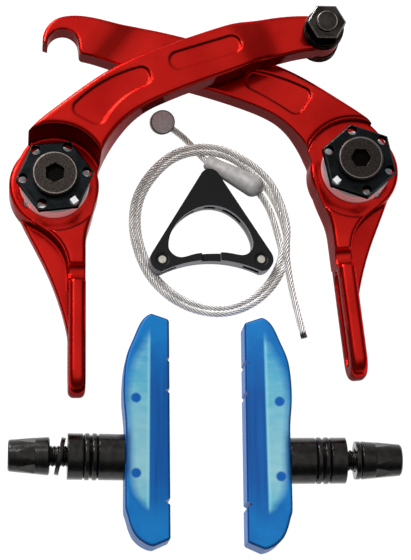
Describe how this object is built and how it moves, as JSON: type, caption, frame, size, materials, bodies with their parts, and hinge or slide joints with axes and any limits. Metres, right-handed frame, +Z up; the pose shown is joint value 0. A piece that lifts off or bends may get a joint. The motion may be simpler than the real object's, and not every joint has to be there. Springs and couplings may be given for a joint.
{
  "type": "u brake",
  "caption": "U brake laid out in its pieces: crossed forged arms on sprung pivots, coiled straddle cable, triangular cable hanger and threaded-stud pads with their washers.",
  "frame": {"origin": "middle of the laid-out kit's box, on the table top", "axes": "+X to the right of the layout, +Y from the pads to the crossed bars, +Z up from the table"},
  "size_m": [0.1112, 0.1528, 0.0299],
  "materials": {
    "arm_red": "red anodised, glossy",
    "bush_steel": "turned",
    "adjuster_black": "black satin",
    "bolt_dark": "dark satin",
    "spring_bright": "bright drawn wire",
    "anchor_grey": "gunmetal gloss",
    "cable_steel": "stranded wire",
    "nipple_grey": "cast, dull",
    "sleeve_grey": "moulded, dull",
    "hanger_black": "black satin",
    "pin_bright": "bright",
    "pad_blue": "translucent blue",
    "insert_pale": "pale, seen through the block",
    "stud_black": "black oxide"
  },
  "bodies": {
    "layout": {"left_pivot_bush": "bush_steel", "right_pivot_bush": "bush_steel", "left_pad_block": "pad_blue", "left_pad_insert": "insert_pale", "left_pad_stud": "stud_black", "left_thick_cup_washer": "stud_black", "left_inner_dome_washer": "stud_black", "left_outer_dome_washer": "stud_black", "left_thin_cup_washer": "stud_black", "left_flat_washer": "stud_black", "right_pad_block": "pad_blue", "right_pad_insert": "insert_pale", "right_pad_stud": "stud_black", "right_thick_cup_washer": "stud_black", "right_inner_dome_washer": "stud_black", "right_outer_dome_washer": "stud_black", "right_thin_cup_washer": "stud_black", "right_flat_washer": "stud_black", "cable_nipple": "nipple_grey", "cable_lead": "cable_steel", "cable_sleeve": "sleeve_grey", "cable_turn": "cable_steel", "cable_coil": "cable_steel", "cable_tail": "cable_steel", "hanger_rear_plate": "hanger_black", "hanger_core": "hanger_black", "hanger_front_plate": "hanger_black", "hanger_left_pin": "pin_bright", "hanger_right_pin": "pin_bright"},
    "left_arm": {"left_arm": "arm_red", "anchor_bolt": "anchor_grey", "anchor_rear_washer": "anchor_grey", "anchor_front_washer": "anchor_grey"},
    "right_arm": {"right_arm": "arm_red"},
    "left_adjuster": {"left_tension_adjuster": "adjuster_black", "left_return_spring": "spring_bright"},
    "right_adjuster": {"right_tension_adjuster": "adjuster_black", "right_return_spring": "spring_bright"},
    "left_bolt": {"left_pivot_bolt": "bolt_dark"},
    "right_bolt": {"right_pivot_bolt": "bolt_dark"},
    "anchor_nut": {"anchor_nut": "anchor_grey"},
    "left_stud_nut": {"left_stud_nut": "stud_black"},
    "right_stud_nut": {"right_stud_nut": "stud_black"}
  },
  "joints": [
    {"name": "left_arm_swing", "type": "hinge", "parent": "layout", "child": "left_arm", "pos_m": [-0.0429, 0.02563, 0.008], "axis": [0, 0, 1], "range_deg": [-5, 6], "stiffness_Nm_per_rad": 0.6, "deforming": ["left_return_spring"]},
    {"name": "right_arm_swing", "type": "hinge", "parent": "layout", "child": "right_arm", "pos_m": [0.0429, 0.03243, 0.008], "axis": [0, 0, 1], "range_deg": [-5, 2], "stiffness_Nm_per_rad": 0.6, "deforming": ["right_return_spring"]},
    {"name": "left_adjuster_turn", "type": "hinge", "parent": "layout", "child": "left_adjuster", "pos_m": [-0.0429, 0.02563, 0.0178], "axis": [0, 0, 1], "range_deg": [-60, 60]},
    {"name": "right_adjuster_turn", "type": "hinge", "parent": "layout", "child": "right_adjuster", "pos_m": [0.0429, 0.03243, 0.0178], "axis": [0, 0, 1], "range_deg": [-60, 60]},
    {"name": "left_bolt_turn", "type": "hinge", "parent": "layout", "child": "left_bolt", "pos_m": [-0.0429, 0.02563, 0.02], "axis": [0, 0, 1], "continuous": true},
    {"name": "right_bolt_turn", "type": "hinge", "parent": "layout", "child": "right_bolt", "pos_m": [0.0429, 0.03243, 0.02], "axis": [0, 0, 1], "continuous": true},
    {"name": "anchor_nut_turn", "type": "hinge", "parent": "left_arm", "child": "anchor_nut", "pos_m": [0.03266, 0.07006, 0.0265], "axis": [0, 0, 1], "continuous": true},
    {"name": "left_stud_nut_turn", "type": "hinge", "parent": "layout", "child": "left_stud_nut", "pos_m": [-0.0479, -0.05127, 0.0065], "axis": [1, 0, 0], "continuous": true},
    {"name": "right_stud_nut_turn", "type": "hinge", "parent": "layout", "child": "right_stud_nut", "pos_m": [0.04919, -0.051, 0.0065], "axis": [0.9997, 0.0227, 0], "continuous": true}
  ]
}
